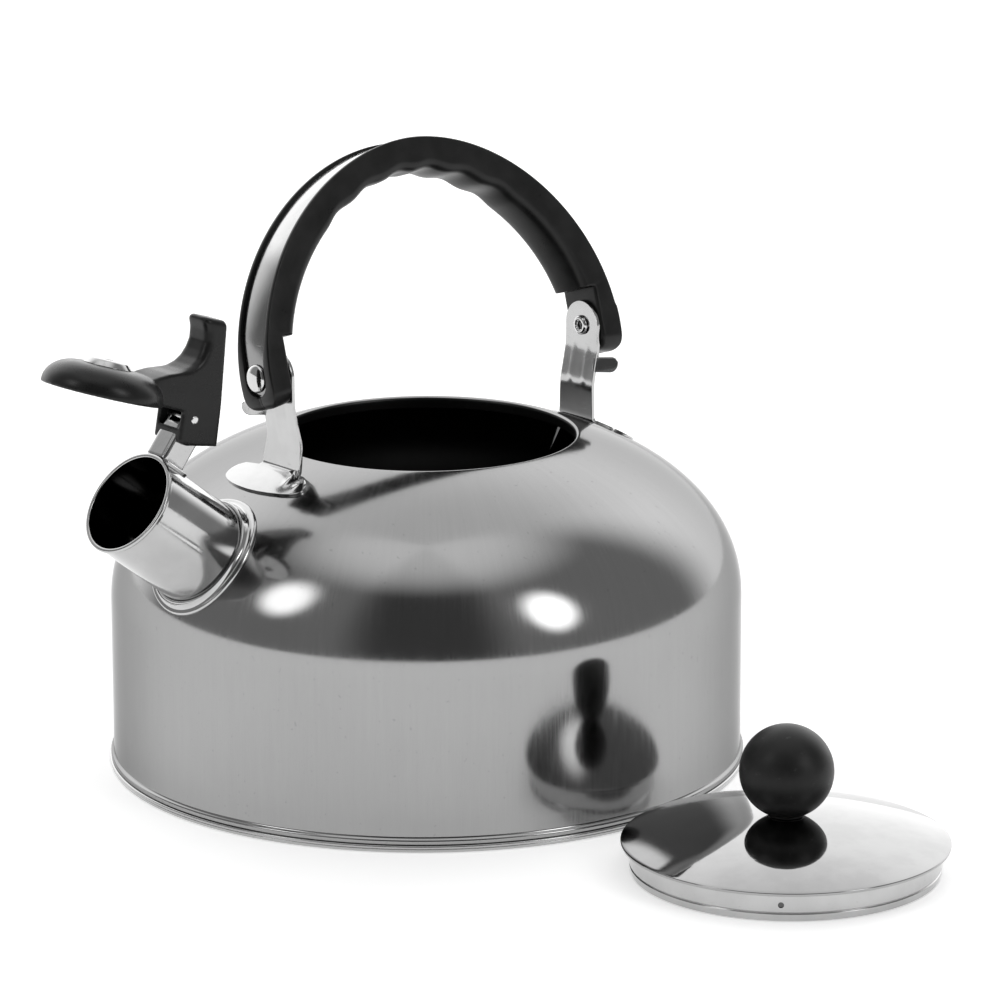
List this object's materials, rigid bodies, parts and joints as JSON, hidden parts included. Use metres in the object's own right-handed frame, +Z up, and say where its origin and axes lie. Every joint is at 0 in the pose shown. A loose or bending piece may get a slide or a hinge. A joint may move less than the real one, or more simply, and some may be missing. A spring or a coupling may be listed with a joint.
{
  "type": "stovetop whistling kettle",
  "caption": "Domed steel stovetop kettle with a folding bail handle, a flip-up whistle cap on a short straight spout, and a loose ball-knob lid lying beside it.",
  "frame": {"origin": "middle of the base, on the surface that the kettle stands on", "axes": "+Z up through the filling opening, -X towards the spout, the handle pivots along X and the loose lid on the -Y side"},
  "size_m": [0.2432, 0.31, 0.1977],
  "materials": {
    "brushed_body": "satin, vertical brushing on the wall",
    "base_steel": "satin",
    "polished_steel": "polished",
    "bracket_steel": "polished sheet with light scuffs",
    "strap_steel": "fine satin",
    "rivet_steel": "bright",
    "whistle_steel": "bright",
    "spring_steel": "satin",
    "mirror_steel": "mirror",
    "lid_steel": "satin",
    "screw_steel": "zinc plated",
    "insert_brass": "turned",
    "black_moulding": "semi-matte moulded",
    "whistle_moulding": "satin moulded",
    "black_knob": "matte bakelite"
  },
  "bodies": {
    "kettle": {"body_shell": "brushed_body", "base_pan": "base_steel", "spout_tube": "polished_steel", "spout_collar": "polished_steel", "front_bracket": "bracket_steel", "rear_bracket": "bracket_steel", "whistle_bracket": "bracket_steel", "whistle_spring": "spring_steel"},
    "handle": {"handle_grip": "black_moulding", "handle_strap": "strap_steel", "front_pivot_rivet": "rivet_steel", "rear_pivot_rivet": "rivet_steel"},
    "whistle": {"whistle_cap": "whistle_moulding", "whistle_outer_plate": "whistle_steel", "whistle_inner_plate": "whistle_steel", "whistle_pin": "rivet_steel"},
    "lid": {"lid_disc": "mirror_steel", "lid_skirt": "lid_steel", "lid_knob": "black_knob", "knob_insert": "insert_brass", "knob_screw": "screw_steel", "knob_washer": "screw_steel"}
  },
  "joints": [
    {"name": "handle_fold", "type": "hinge", "parent": "kettle", "child": "handle", "pos_m": [0.0035, 0, 0.1317], "axis": [0.9998, 0, -0.0175], "range_deg": [0, 34.6]},
    {"name": "whistle_flip", "type": "hinge", "parent": "kettle", "child": "whistle", "pos_m": [-0.09462, 0, 0.12579], "axis": [0, -1, 0], "range_deg": [0, 70]},
    {"name": "lid_lift", "type": "slide", "parent": "kettle", "child": "lid", "axis": [0, 0, 1], "range_m": [0, 0.2]}
  ]
}
